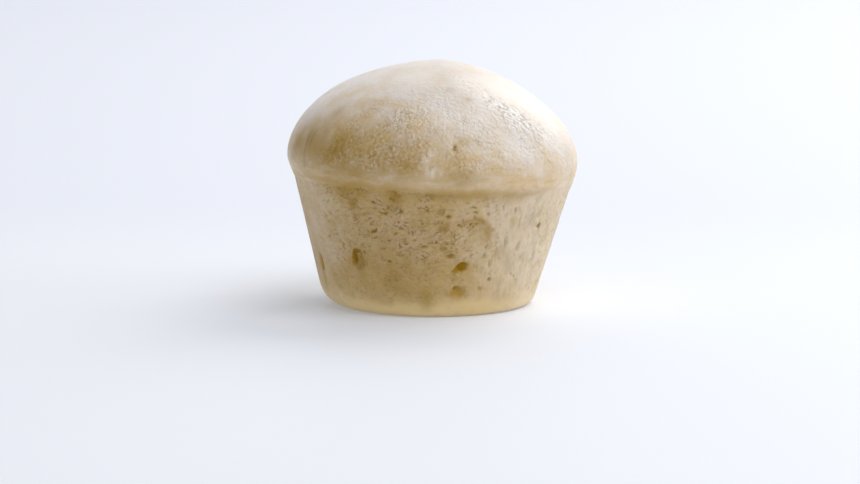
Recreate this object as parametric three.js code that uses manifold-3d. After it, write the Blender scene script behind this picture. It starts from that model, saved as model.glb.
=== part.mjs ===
/**
 * Steamed bun, risen in a plain muffin cup and turned out of it.
 *
 * One solid: a flat, round-edged base, a tapered side with open cells where the crumb
 * touched the cup, a crease, and a smooth domed top whose lip hangs a little over the side.
 *
 * Millimetres and degrees, +Z up. A direction is an angle about Z: 0 is the front (-Y),
 * 90 the right (+X). The bun stands on Z = 0, with the middle of its box on the Z axis.
 */
import * as THREE from 'three';
import { mergeVertices } from 'three/addons/utils/BufferGeometryUtils.js';
import Module from 'manifold-3d';

const wasm = await Module();
wasm.setup();

const { degToRad, lerp, seededRandom, smoothstep } = THREE.MathUtils;

// ---------------------------------------------------------------- driving dimensions

/** A size that changes round the bun: its mean, and what it gains at the right and front. */
const round = (mean, right, front) => ({ mean, right, front });

const GROUND_RADIUS = 26; // where the straight line of the side meets the ground
const DRAFT = round(15.45, 1.1, 0); // slope of the side away from upright
const CORNER = round(5.2, -2.0, -1.6); // rounding between base and side
const CREASE_HEIGHT = round(31.1, -1.9, 1.8); // the crease under the lip
const CREASE_BAND = 0.7; // height over which the crease steps out
const OVERHANG = round(0.2, -0.05, 0.2); // how far the lip's lower edge stands out

const LIP_RADIUS = 36.2; // the widest place
const LIP_HEIGHT = round(36.6, -1.0, 1.6);
const CROWN_HEIGHT = 60.7;
const DOME_POWER = round(1.825, -0.05, 0); // 2 is a plain ellipse, less is more pointed

// The bun leans: each level's middle lies this far to the right of the base circle's own.
const LEAN = { base: -0.7, crease: 0.6, lip: 0.25, crown: -0.6 };
const LEAN_BAND = { lip: 3, dome: 6 }; // heights over which the lean comes in

// The crown is higher on its right than on its left.
const CROWN_TILT = { rise: 0.8, radius: 12, band: 8 };

// Shallow waves round the bun, by how often they come round and where they start.
const WAVES = [
  { times: 2, start: 35, depth: 0.16 },
  { times: 3, start: 200, depth: 0.14 },
  { times: 5, start: 80, depth: 0.08 },
];

// ------------------------------------------------------------------------ open cells

/** An open cell: its place, the size of its mouth, and how far it reaches in. */
const cell = (direction, height, width, tall, depth) => ({
  direction,
  height,
  width,
  tall,
  depth,
});

const FRONT_CELLS = {
  hood: cell(-36.2, 15.0, 2.8, 4.0, 1.9),
  slit: cell(-67.8, 11.4, 1.1, 4.5, 1.2),
  deepHole: cell(15.3, 12.8, 2.9, 2.5, 2.4),
  dimple: cell(14.5, 6.7, 4.0, 2.8, 0.8),
  dimpleHole: cell(13.7, 7.1, 1.9, 1.7, 1.9),
  smallDimple: cell(9.5, 16.2, 2.0, 1.5, 0.6),
  arch: cell(19.2, 22.2, 7.4, 5.4, 0.75),
  archRim: cell(22.4, 23.4, 1.9, 2.6, 1.4),
  oval: cell(-6.0, 25.3, 5.0, 3.0, 0.5),
  pinHole: cell(7.5, 26.1, 1.3, 1.3, 1.4),
  pinSlot: cell(5.3, 27.3, 1.3, 1.9, 1.2),
  ring: cell(5.7, 22.4, 2.9, 2.3, 0.7),
  rightCell: cell(55.7, 21.9, 1.6, 1.4, 1.1),
  domeHole: cell(8.5, 43.1, 1.4, 1.3, 1.0),
};

// Round the far side the cells follow a rule: evenly turned, with seeded height and size.
const FAR_CELLS = {
  count: 20,
  seed: 41,
  from: 78,
  to: 284,
  lowest: 5,
  highest: 26,
  smallest: 1.3,
  widest: 3.6,
  deepest: 1.8,
};

// ------------------------------------------------------------------------- mesh sizes

const AROUND = 88; // columns round the bun
const RINGS = { corner: 5, side: 13, lip: 5, dome: 19 };
const CELL_DETAIL = 1; // subdivisions of each cell's icosahedron
const PROBE = 0.5; // step, in mm and in degrees, for the surface normal

// ------------------------------------------------------------------------------ form

/** The value of a changing size in one direction. */
function at(size, direction) {
  const turn = degToRad(direction);
  return size.mean + size.right * Math.sin(turn) + size.front * Math.cos(turn);
}

/** Radius of the straight side at a height. */
function sideRadius(direction, height) {
  return GROUND_RADIUS + height * Math.tan(degToRad(at(DRAFT, direction)));
}

/** Radius above the crease: a quarter sine out to the lip, then a superellipse dome. */
function topRadius(direction, height) {
  const crease = at(CREASE_HEIGHT, direction);
  const lip = at(LIP_HEIGHT, direction);
  if (height < lip) {
    const edge = sideRadius(direction, crease) + at(OVERHANG, direction);
    const climb = (height - crease) / (lip - crease);
    return lerp(edge, LIP_RADIUS, Math.sin((climb * Math.PI) / 2));
  }
  const power = at(DOME_POWER, direction);
  const climb = Math.min((height - lip) / (CROWN_HEIGHT - lip), 1);
  return LIP_RADIUS * (1 - climb ** power) ** (1 / power);
}

/** Radius of the bun at a height, above its rounded corner. */
function skinRadius(direction, height) {
  const crease = at(CREASE_HEIGHT, direction);
  const below = sideRadius(direction, height);
  if (height <= crease - CREASE_BAND) return below;
  if (height >= crease) return topRadius(direction, height);
  const share = smoothstep(height, crease - CREASE_BAND, crease);
  return below + at(OVERHANG, direction) * share;
}

/** How far the bun's middle lies to the right at a height. */
function lean(height) {
  const toCrease = smoothstep(height, 0, CREASE_HEIGHT.mean);
  const toLip = smoothstep(height, CREASE_HEIGHT.mean - LEAN_BAND.lip, LIP_HEIGHT.mean);
  const toCrown = smoothstep(height, LIP_HEIGHT.mean + LEAN_BAND.dome, CROWN_HEIGHT);
  return LEAN.base + LEAN.crease * toCrease + LEAN.lip * toLip + LEAN.crown * toCrown;
}

/** Sum of the shallow waves in a direction, fading out at the base and at the crown. */
function wave(direction, radius, height) {
  let sum = 0;
  for (const { times, start, depth } of WAVES) {
    sum += depth * Math.sin(degToRad(times * direction + start));
  }
  const fromBase = smoothstep(height, 0, CORNER.mean);
  const fromCrown = smoothstep(radius, 0, LIP_RADIUS);
  return sum * fromBase * fromCrown;
}

/** The point of the skin in a direction, for a radius and height of its half-section. */
function place(direction, radius, height) {
  const turn = degToRad(direction);
  const reach = radius + wave(direction, radius, height);
  const x = reach * Math.sin(turn);
  const y = -reach * Math.cos(turn);
  const fade = Math.exp(-((reach / CROWN_TILT.radius) ** 2) / 2);
  const onDome = smoothstep(height, LIP_HEIGHT.mean, LIP_HEIGHT.mean + CROWN_TILT.band);
  const tilt = CROWN_TILT.rise * (x / CROWN_TILT.radius) * fade * onDome;
  return new THREE.Vector3(x + lean(height), y, height + tilt);
}

/** Half-section in one direction, from the base's edge to the last ring under the crown. */
function halfSection(direction) {
  const draft = degToRad(at(DRAFT, direction));
  const corner = at(CORNER, direction);
  const flat = GROUND_RADIUS - corner / Math.tan((Math.PI / 2 + draft) / 2);
  const arc = new THREE.EllipseCurve(flat, corner, corner, corner, -Math.PI / 2, -draft);
  const section = arc.getPoints(RINGS.corner).map((point) => [point.x, point.y]);

  const crease = at(CREASE_HEIGHT, direction);
  const lip = at(LIP_HEIGHT, direction);
  const bottom = section.at(-1)[1];
  const heights = [];
  for (let ring = 1; ring <= RINGS.side; ring += 1) {
    heights.push(lerp(bottom, crease - CREASE_BAND, ring / RINGS.side));
  }
  heights.push(crease - CREASE_BAND / 2);
  for (let ring = 0; ring < RINGS.lip; ring += 1) {
    heights.push(lerp(crease, lip, ring / RINGS.lip));
  }
  const power = at(DOME_POWER, direction);
  for (let ring = 0; ring < RINGS.dome; ring += 1) {
    const turn = ((ring / RINGS.dome) * Math.PI) / 2;
    heights.push(lerp(lip, CROWN_HEIGHT, Math.sin(turn) ** (2 / power)));
  }
  for (const height of heights) section.push([skinRadius(direction, height), height]);
  return section;
}

/** The whole skin as one closed geometry: rings of points, closed at the base and crown. */
function bunGeometry() {
  const columns = [];
  for (let column = 0; column < AROUND; column += 1) {
    const direction = (column / AROUND) * 360;
    const section = halfSection(direction);
    columns.push(section.map(([radius, height]) => place(direction, radius, height)));
  }
  const rings = columns[0].length;
  const points = [...columns.flat(), place(0, 0, 0), place(0, 0, CROWN_HEIGHT)];
  const base = AROUND * rings;
  const crown = base + 1;

  const triangles = [];
  for (let column = 0; column < AROUND; column += 1) {
    const here = column * rings;
    const next = ((column + 1) % AROUND) * rings;
    triangles.push(base, next, here);
    for (let ring = 0; ring < rings - 1; ring += 1) {
      triangles.push(here + ring, next + ring, next + ring + 1);
      triangles.push(here + ring, next + ring + 1, here + ring + 1);
    }
    triangles.push(crown, here + rings - 1, next + rings - 1);
  }
  const geometry = new THREE.BufferGeometry().setFromPoints(points);
  return geometry.setIndex(triangles);
}

// ----------------------------------------------------------------------------- cells

/** The frame of the skin at a place: its axes run sideways, up the skin and out of it. */
function skinFrame(direction, height) {
  const point = (turn, level) => place(turn, skinRadius(turn, level), level);
  const across = point(direction + PROBE, height).sub(point(direction - PROBE, height));
  const up = point(direction, height + PROBE).sub(point(direction, height - PROBE));
  const sideways = across.normalize();
  const outward = new THREE.Vector3().crossVectors(sideways, up).normalize();
  const along = new THREE.Vector3().crossVectors(outward, sideways);
  const frame = new THREE.Matrix4().makeBasis(sideways, along, outward);
  return frame.setPosition(point(direction, height));
}

/** The rounded lump that an open cell takes out of the crumb. */
function cellGeometry({ direction, height, width, tall, depth }) {
  const lump = new THREE.IcosahedronGeometry(1, CELL_DETAIL);
  lump.scale(width / 2, tall / 2, depth);
  return lump.applyMatrix4(skinFrame(direction, height));
}

/** The cells of the far side, turned evenly, with seeded heights and sizes. */
function farCells() {
  const { count, seed, from, to, lowest, highest, smallest, widest, deepest } = FAR_CELLS;
  seededRandom(seed);
  const cells = [];
  for (let number = 0; number < count; number += 1) {
    const direction = lerp(from, to, (number + seededRandom()) / count);
    const height = lerp(lowest, highest, seededRandom());
    const size = seededRandom() ** 2;
    const width = lerp(smallest, widest, size);
    const tall = width * lerp(0.7, 1.3, seededRandom());
    const depth = lerp(smallest / 2, deepest, seededRandom() * (1 - size / 2));
    cells.push(cell(direction, height, width, tall, depth));
  }
  return cells;
}

// ----------------------------------------------------------------------------- solid

/** A closed geometry as a solid that can be cut. */
function solidOf(geometry) {
  geometry.deleteAttribute('normal');
  geometry.deleteAttribute('uv');
  const merged = mergeVertices(geometry);
  const vertProperties = merged.attributes.position.array;
  const triVerts = new Uint32Array(merged.index.array);
  return new wasm.Manifold(new wasm.Mesh({ numProp: 3, vertProperties, triVerts }));
}

/** A solid's faces as a geometry, its box's middle on the Z axis. */
function centredGeometry(solid) {
  const { vertProperties, triVerts } = solid.getMesh();
  const geometry = new THREE.BufferGeometry();
  geometry.setAttribute('position', new THREE.BufferAttribute(vertProperties, 3));
  geometry.setIndex(new THREE.BufferAttribute(triVerts, 1));
  geometry.computeBoundingBox();
  const middle = geometry.boundingBox.getCenter(new THREE.Vector3());
  geometry.translate(-middle.x, -middle.y, 0);
  geometry.computeVertexNormals();
  return geometry;
}

function makeBun() {
  let solid = solidOf(bunGeometry());
  for (const hole of [...Object.values(FRONT_CELLS), ...farCells()]) {
    solid = solid.subtract(solidOf(cellGeometry(hole)));
  }
  const dough = new THREE.MeshStandardMaterial({
    color: '#e2d3b7',
    roughness: 0.55,
    metalness: 0,
  });
  const bun = new THREE.Mesh(centredGeometry(solid), dough);
  bun.name = 'bun';
  return bun;
}

const part = new THREE.Group();
part.add(makeBun());

export default part;
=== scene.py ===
"""A steamed bun on a pale floor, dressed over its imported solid.

The bun is one surface worked out on a grid of rings and columns: the smooth form of the
solid, with its open cells, pores, pebbled skin and folds pressed into it. Sizes of the bun
are in millimetres and angles in degrees until a mesh is made, which is in metres.
A direction is an angle about Z: 0 is the front (-Y) and 90 the right (+X).
"""

import logging
import math
from collections.abc import Iterator
from dataclasses import dataclass, field
from enum import Enum
from types import SimpleNamespace

import bpy
import numpy as np
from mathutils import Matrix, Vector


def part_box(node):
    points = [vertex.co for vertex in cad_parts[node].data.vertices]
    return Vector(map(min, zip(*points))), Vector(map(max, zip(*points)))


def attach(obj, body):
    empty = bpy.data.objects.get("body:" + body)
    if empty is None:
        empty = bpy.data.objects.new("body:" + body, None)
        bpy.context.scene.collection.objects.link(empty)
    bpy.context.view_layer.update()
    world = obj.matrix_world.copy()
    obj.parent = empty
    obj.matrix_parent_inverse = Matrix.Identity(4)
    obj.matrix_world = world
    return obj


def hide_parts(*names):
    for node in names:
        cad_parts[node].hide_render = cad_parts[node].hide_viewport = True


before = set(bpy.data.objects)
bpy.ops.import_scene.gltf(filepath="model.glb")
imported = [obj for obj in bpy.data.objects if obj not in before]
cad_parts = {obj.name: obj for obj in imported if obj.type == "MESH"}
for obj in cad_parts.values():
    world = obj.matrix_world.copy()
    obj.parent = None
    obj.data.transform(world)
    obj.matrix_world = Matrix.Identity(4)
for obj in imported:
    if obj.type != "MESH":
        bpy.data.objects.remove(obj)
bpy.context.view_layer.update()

NODE = "bun"
SLOT = "steamed_dough"
WORD = 0xFFFFFFFF
log = logging.getLogger("bun")

Array = np.ndarray
Real = float | Array
# A pair of values: where a smooth step starts and where it ends, or a peak and its reach.
Span = tuple[float, float]


# ------------------------------------------------------------------ arrays of numbers


def smooth(value: Real, start: float, end: float) -> Real:
    """0 at start and 1 at end along 3t^2 - 2t^3, also where end is the lower of the two."""
    share = np.clip((value - start) / (end - start), 0.0, 1.0)
    return share * share * (3.0 - 2.0 * share)


def peak(value: Real, centre: float, reach: float) -> Real:
    """1 at the centre, fading to both sides as exp(-((value - centre) / reach)^2)."""
    return np.exp(-(((value - centre) / reach) ** 2))


def lerp(low: Real, high: Real, share: Real) -> Real:
    """The value a share of the way from low to high."""
    return low + (high - low) * share


def turn_between(direction: Array, centre: float) -> Array:
    """The signed angle from centre to each direction, in degrees, from -180 to 180."""
    return (direction - centre + 180.0) % 360.0 - 180.0


def lattice(cells: Array, seed: int) -> Array:
    """Even random numbers from 0 to 1 for whole-numbered lattice cells.

    The three indices are multiplied by large odd numbers, added, and mixed by shifts.

    Args:
        cells: Whole-numbered places, x, y and z on the last axis.
        seed: Which of the independent sets of numbers to give.

    Returns:
        One number for each cell.
    """
    whole = cells.astype(np.int64).astype(np.uint32)
    mixed = np.uint32(seed * 3266489917 & WORD)
    for axis, factor in enumerate((374761393, 668265263, 2246822519)):
        mixed = mixed + whole[..., axis] * np.uint32(factor)
    for shift, factor in ((15, 2246822519), (13, 3266489917)):
        mixed = (mixed ^ (mixed >> np.uint32(shift))) * np.uint32(factor)
    mixed = mixed ^ (mixed >> np.uint32(16))
    return mixed / (WORD + 1.0)


def scattered(
    points: Array,
    spacing: float,
    seed: int,
    stretch: float = 1.0,
) -> Iterator[tuple[Array, Array]]:
    """The scattered middles about each point, one in each of the 27 nearest lattice cells.

    Args:
        points: Places in millimetres, x, y and z on the last axis.
        spacing: Width of a lattice cell, in millimetres.
        seed: Which random set to use.
        stretch: How many times taller than wide a lattice cell is.

    Yields:
        The lattice cells, and how many cells' widths the points are from their middles.
    """
    scaled = points / spacing * np.array([1.0, 1.0, 1.0 / stretch])
    home = np.floor(scaled)
    for step in np.ndindex(3, 3, 3):
        cell = home + (np.array(step) - 1.0)
        jitter = np.stack([lattice(cell, seed + axis) for axis in range(3)], axis=-1)
        yield cell, np.linalg.norm(cell + jitter - scaled, axis=-1)


@dataclass(frozen=True)
class Waves:
    """Soft random waves: the largest's width, a random set, and how many finer layers."""

    size: float
    seed: int
    octaves: int = 2
    drift: float = 0.37

    def at(self, points: Array) -> Array:
        """The waves: lattice values joined smoothly, each octave half the last.

        Args:
            points: Places in millimetres, x, y and z on the last axis.

        Returns:
            Values round 0, mostly between -1 and 1.
        """
        total = np.zeros(points.shape[:-1])
        for octave in range(self.octaves):
            scaled = points * (2.0**octave / self.size) + self.drift * octave
            cell = np.floor(scaled)
            part = smooth(scaled - cell, 0.0, 1.0)
            for corner in np.ndindex(2, 2, 2):
                value = 2.0 * lattice(cell + np.array(corner), self.seed + octave) - 1.0
                weight = np.prod(np.where(np.array(corner) == 1, part, 1.0 - part), axis=-1)
                total += value * weight / 2.0**octave
        return total

    def pushed(self, points: Array, reach: float) -> Array:
        """The points, each pushed along x, y and z by up to about reach, in millimetres."""
        sets = [Waves(self.size, self.seed + axis, self.octaves) for axis in range(3)]
        return points + reach * np.stack([one.at(points) for one in sets], axis=-1)


@dataclass(frozen=True)
class Pores:
    """Bubbles of one range of sizes, scattered through the crumb, one to a cell at most."""

    spacing: float
    smallest: float
    widest: float
    share: float
    sink: float
    seed: int

    def depth(self, points: Array) -> Array:
        """How deep the skin is sunk at each point by the bubbles that it cuts.

        A bubble of radius r gives a point d from its centre the depth sink sqrt(r^2 - d^2).

        Args:
            points: Places in millimetres, x, y and z on the last axis.

        Returns:
            The depths in millimetres, 0 outside every bubble.
        """
        deepest = np.zeros(points.shape[:-1])
        for cell, away in scattered(points, self.spacing, self.seed):
            radius = lerp(self.smallest, self.widest, lattice(cell, self.seed + 3) ** 2)
            there = lattice(cell, self.seed + 4) < self.share
            reach = np.clip(radius**2 - (away * self.spacing) ** 2, 0.0, None)
            deepest = np.maximum(deepest, np.sqrt(reach) * there)
        return self.sink * deepest


@dataclass(frozen=True)
class Foam:
    """Cells that fill the crumb and meet along thin walls, some open and some closed."""

    spacing: float
    sink: float
    share: float
    wall: float
    seed: int
    stretch: float = 1.0

    def depth(self, points: Array) -> tuple[Array, Array]:
        """How deep each point is sunk, and how far it lies on an open cell's wall.

        Space belongs to the nearest of a set of jittered middles. A point is on a wall where
        its distances to the nearest two are alike, and full depth is reached away from it.

        Args:
            points: Places in millimetres, x, y and z on the last axis.

        Returns:
            The depths in millimetres, and 1 on the walls of open cells and 0 off them.
        """
        first = np.full(points.shape[:-1], np.inf)
        second = np.full(points.shape[:-1], np.inf)
        opened = np.zeros(points.shape[:-1])
        for cell, away in scattered(points, self.spacing, self.seed, self.stretch):
            closer = away < first
            second = np.where(closer, first, np.minimum(second, away))
            opened = np.where(closer, lattice(cell, self.seed + 3), opened)
            first = np.minimum(first, away)
        inside = smooth((second - first) * self.spacing, 0.0, self.wall)
        opened = smooth(opened, 1.0 - self.share, 1.0)
        return self.sink * opened * inside, opened * (1.0 - inside)


# ------------------------------------------------------------------------ smooth form


@dataclass(frozen=True)
class Round:
    """A size that changes round the bun: its mean, and its gain at the right and front."""

    mean: float
    right: float = 0.0
    front: float = 0.0

    def at(self, direction: Array) -> Array:
        """The size in each direction."""
        turn = np.radians(direction)
        return self.mean + self.right * np.sin(turn) + self.front * np.cos(turn)


@dataclass(frozen=True)
class BunForm:
    """The bun without its pores: a base, a tapered side, a crease, and a leaning dome."""

    ground_radius: float = 26.0
    draft: Round = Round(15.45, 1.1)
    corner: Round = Round(5.2, -2.0, -1.6)
    crease_height: Round = Round(31.1, -1.9, 1.8)
    crease_band: float = 0.7
    overhang: Round = Round(0.2, -0.05, 0.2)
    lip_radius: float = 36.2
    lip_height: Round = Round(36.6, -1.0, 1.6)
    crown_height: float = 60.7
    dome_power: Round = Round(1.825, -0.05)
    lean_steps: tuple[float, ...] = (-0.7, 0.6, 0.25, -0.6)
    lean_bands: tuple[float, ...] = (3.0, 6.0)
    crown_rise: float = 0.8
    crown_reach: float = 12.0
    crown_band: float = 8.0
    wave_rules: tuple[tuple[int, int, float], ...] = ((2, 35, 0.16), (3, 200, 0.14), (5, 80, 0.08))
    probe: float = 0.5

    def side_radius(self, direction: Array, height: Array) -> Array:
        """Radius of the straight side: the ground radius plus height times the slope."""
        return self.ground_radius + height * np.tan(np.radians(self.draft.at(direction)))

    def top_radius(self, direction: Array, height: Array) -> Array:
        """Radius above the crease: a quarter sine out to the lip, then a superellipse.

        Args:
            direction: Angles about Z, in degrees.
            height: Heights at or above the crease, in millimetres.

        Returns:
            The radii in millimetres.
        """
        crease = self.crease_height.at(direction)
        lip = self.lip_height.at(direction)
        edge = self.side_radius(direction, crease) + self.overhang.at(direction)
        climb = np.clip((height - crease) / (lip - crease), 0.0, 1.0)
        below = lerp(edge, self.lip_radius, np.sin(climb * np.pi / 2.0))
        power = self.dome_power.at(direction)
        climb = np.clip((height - lip) / (self.crown_height - lip), 0.0, 1.0)
        above = self.lip_radius * (1.0 - climb**power) ** (1.0 / power)
        return np.where(height < lip, below, above)

    def skin_radius(self, direction: Array, height: Array) -> Array:
        """Radius of the bun above its rounded corner: side, stepped-out crease, then top.

        Args:
            direction: Angles about Z, in degrees.
            height: Heights above the rounded corner, in millimetres.

        Returns:
            The radii in millimetres.
        """
        crease = self.crease_height.at(direction)
        share = smooth((height - crease) / self.crease_band, -1.0, 0.0)
        below = self.side_radius(direction, height) + self.overhang.at(direction) * share
        return np.where(height < crease, below, self.top_radius(direction, height))

    def lean(self, height: Array) -> Array:
        """How far the bun's middle lies to the right: smooth steps from part to part.

        Args:
            height: Heights in millimetres.

        Returns:
            The middle's x at each height, in millimetres.
        """
        crease, lip = self.crease_height.mean, self.lip_height.mean
        base, to_crease, to_lip, to_crown = self.lean_steps
        total = base + to_crease * smooth(height, 0.0, crease)
        total = total + to_lip * smooth(height, crease - self.lean_bands[0], lip)
        start = lip + self.lean_bands[1]
        return total + to_crown * smooth(height, start, self.crown_height)

    def wave(self, direction: Array, radius: Array, height: Array) -> Array:
        """Sum of the shallow waves round the bun, fading out at the base and the crown.

        Args:
            direction: Angles about Z, in degrees.
            radius: Distances from the leaning middle, in millimetres.
            height: Heights in millimetres.

        Returns:
            What the waves add to the radii, in millimetres.
        """
        total = 0.0
        for times, start, depth in self.wave_rules:
            total = total + depth * np.sin(np.radians(times * direction + start))
        fade = smooth(height, 0.0, self.corner.mean) * smooth(radius, 0.0, self.lip_radius)
        return total * fade

    def place(self, direction: Array, radius: Array, height: Array) -> Array:
        """Points of the skin for the radius and height of their half-sections.

        Args:
            direction: Angles about Z, in degrees.
            radius: Distances from the leaning middle, in millimetres.
            height: Heights before the crown's tilt, in millimetres.

        Returns:
            The points in millimetres, on a last axis of x, y and z.
        """
        turn = np.radians(direction)
        reach = radius + self.wave(direction, radius, height)
        x = reach * np.sin(turn)
        y = -reach * np.cos(turn)
        fade = np.exp(-((reach / self.crown_reach) ** 2) / 2.0)
        lip = self.lip_height.mean
        on_dome = smooth(height, lip, lip + self.crown_band)
        tilt = self.crown_rise * (x / self.crown_reach) * fade * on_dome
        return np.stack([x + self.lean(height), y, height + tilt], axis=-1)

    def corner_arc(self, direction: Array, share: Array) -> tuple[Array, Array]:
        """Radius and height along the rounded corner, from the base up to the side.

        Args:
            direction: Angles about Z, in degrees.
            share: 0 at the base's flat edge and 1 where the straight side starts.

        Returns:
            The radii and the heights in millimetres.
        """
        draft = np.radians(self.draft.at(direction))
        corner = self.corner.at(direction)
        flat = self.ground_radius - corner / np.tan((np.pi / 2.0 + draft) / 2.0)
        angle = lerp(-np.pi / 2.0, -draft, share)
        return flat + corner * np.cos(angle), corner * (1.0 + np.sin(angle))

    def point(self, direction: float, height: float) -> Array:
        """The skin's point in one direction at one height."""
        there = (np.array(direction), np.array(height))
        return self.place(there[0], self.skin_radius(*there), there[1])

    def skin_frame(self, direction: float, height: float) -> tuple[Array, Array]:
        """A point of the skin and the axes there, from points a probe's length about it.

        Args:
            direction: The point's angle about Z, in degrees.
            height: The point's height, in millimetres.

        Returns:
            The point, and the axes sideways, up the skin and out of it, one to a row.
        """
        probe = self.probe
        sideways = self.point(direction + probe, height) - self.point(direction - probe, height)
        rise = self.point(direction, height + probe) - self.point(direction, height - probe)
        sideways /= np.linalg.norm(sideways)
        outward = np.cross(sideways, rise)
        outward /= np.linalg.norm(outward)
        axes = np.stack([sideways, np.cross(outward, sideways), outward])
        return self.point(direction, height), axes


# --------------------------------------------------------------------- marks on the bun


@dataclass(frozen=True)
class Mark:
    """A place on the skin with a width, a height and a tilt within the skin."""

    direction: float
    height: float
    width: float
    tall: float
    depth: float = 1.0
    tilt: float = 0.0

    def local(self, form: BunForm, points: Array) -> Array:
        """Points seen from the mark: sideways, up the skin and out, as shares of its size.

        Args:
            form: The bun's form.
            points: Places in millimetres, x, y and z on the last axis.

        Returns:
            The points, of length 1 on the mark's outline.
        """
        centre, axes = form.skin_frame(self.direction, self.height)
        seen = (points - centre) @ axes.T
        turn = math.radians(self.tilt)
        across = seen[..., 0] * math.cos(turn) + seen[..., 1] * math.sin(turn)
        along = seen[..., 1] * math.cos(turn) - seen[..., 0] * math.sin(turn)
        reach = max(self.width, self.tall)
        sizes = np.array([self.width, self.tall, reach]) / 2.0
        return np.stack([across, along, seen[..., 2]], axis=-1) / sizes

    def haze(self, form: BunForm, points: Array) -> Array:
        """A soft spot that fades from the mark's middle as exp(-s^2)."""
        return np.exp(-np.sum(self.local(form, points) ** 2, axis=-1))


@dataclass(frozen=True)
class Cell(Mark):
    """An open cell: a hollow, its darkening (stain and painted shade), its painted amber glow, and a
    rim on one side.
    """

    stain_and_shade: float = 0.9
    glow: float = 0.0
    rim: float = 0.0
    rim_turn: float = 90.0
    band: float = 0.22

    def bowl(self, seen: Array) -> Array:
        """Depth of the round-bottomed hollow: depth sqrt(1 - s^2) inside the outline."""
        return self.depth * np.sqrt(np.clip(1.0 - np.sum(seen**2, axis=-1), 0.0, 1.0))

    def crescent(self, seen: Array) -> Array:
        """The rim: a band where the outline lies, strongest towards the turn of the rim.

        The band is exp(-(d / band)^2) of the distance d from the outline, times half of
        one plus the cosine of the angle from the rim's turn (0 is right and 90 is up).

        Args:
            seen: Points seen from the cell, as shares of its size.

        Returns:
            The rim's strength from 0 to 1.
        """
        off = np.sqrt(np.sum(seen**2, axis=-1))
        turn = np.arctan2(seen[..., 1], seen[..., 0]) - math.radians(self.rim_turn)
        return self.rim * peak(off, 1.0, self.band) * (0.5 + 0.5 * np.cos(turn))


FRONT_CELLS = {
    "hood": Cell(-35.9, 14, 3.1, 5.4, 0.8, stain_and_shade=0.25, rim=3, rim_turn=80, band=0.2),
    "hood_slot": Cell(-38.4, 14.5, 1.4, 3.6, 1.7, stain_and_shade=1, glow=0.7),
    "slit": Cell(-66.5, 12, 2, 4.6, 1.2, stain_and_shade=1, glow=0.8),
    "deep_hole": Cell(15.4, 12.9, 3.2, 2.7, 1.7, 28, 1, 1, rim=0.6, rim_turn=-90),
    "deep_tip": Cell(12.7, 11.9, 1.9, 1.4, 0.9, 28, stain_and_shade=0.8, glow=1),
    "dimple": Cell(14.6, 6.6, 4.2, 3.4, 0.6, stain_and_shade=0.6, glow=0.9, rim=0.6, rim_turn=-60),
    "dimple_hole": Cell(13.7, 7.3, 1.3, 1.2, 0.9, stain_and_shade=0.9, glow=0.8),
    "small_dimple": Cell(9.8, 16.2, 2.2, 1.6, 0.7, stain_and_shade=0.6, glow=0.15, rim=0.5, rim_turn=150),
    "arch": Cell(19.2, 21.4, 9, 7.6, 0.6, stain_and_shade=0, rim=1, rim_turn=55, band=0.14),
    "oval": Cell(-5.5, 25, 5.6, 3.4, 0.5, stain_and_shade=0.05, rim=0.8, rim_turn=20, band=0.15),
    "pin_hole": Cell(7.5, 26.1, 1.4, 1.2, 0.8, stain_and_shade=0.7, glow=0.3),
    "pin_slot": Cell(4.2, 27.5, 1.8, 2.2, 0.6, stain_and_shade=0.25, rim=1.1, rim_turn=0, band=0.26),
    "ring": Cell(5.6, 22.8, 2.9, 2.3, 0.55, stain_and_shade=0.5, rim=0.7, rim_turn=70, band=0.3),
    "lens": Cell(5.6, 18.1, 2.3, 1.9, 0.5, stain_and_shade=0.4),
    "right_cell": Cell(55.7, 21.9, 1.7, 1.7, 1.1, stain_and_shade=0.8, glow=0.4),
    "dome_hole": Cell(9.3, 43.1, 1, 1.8, 0.65, -30, stain_and_shade=0.8, glow=0.6),
}

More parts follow.
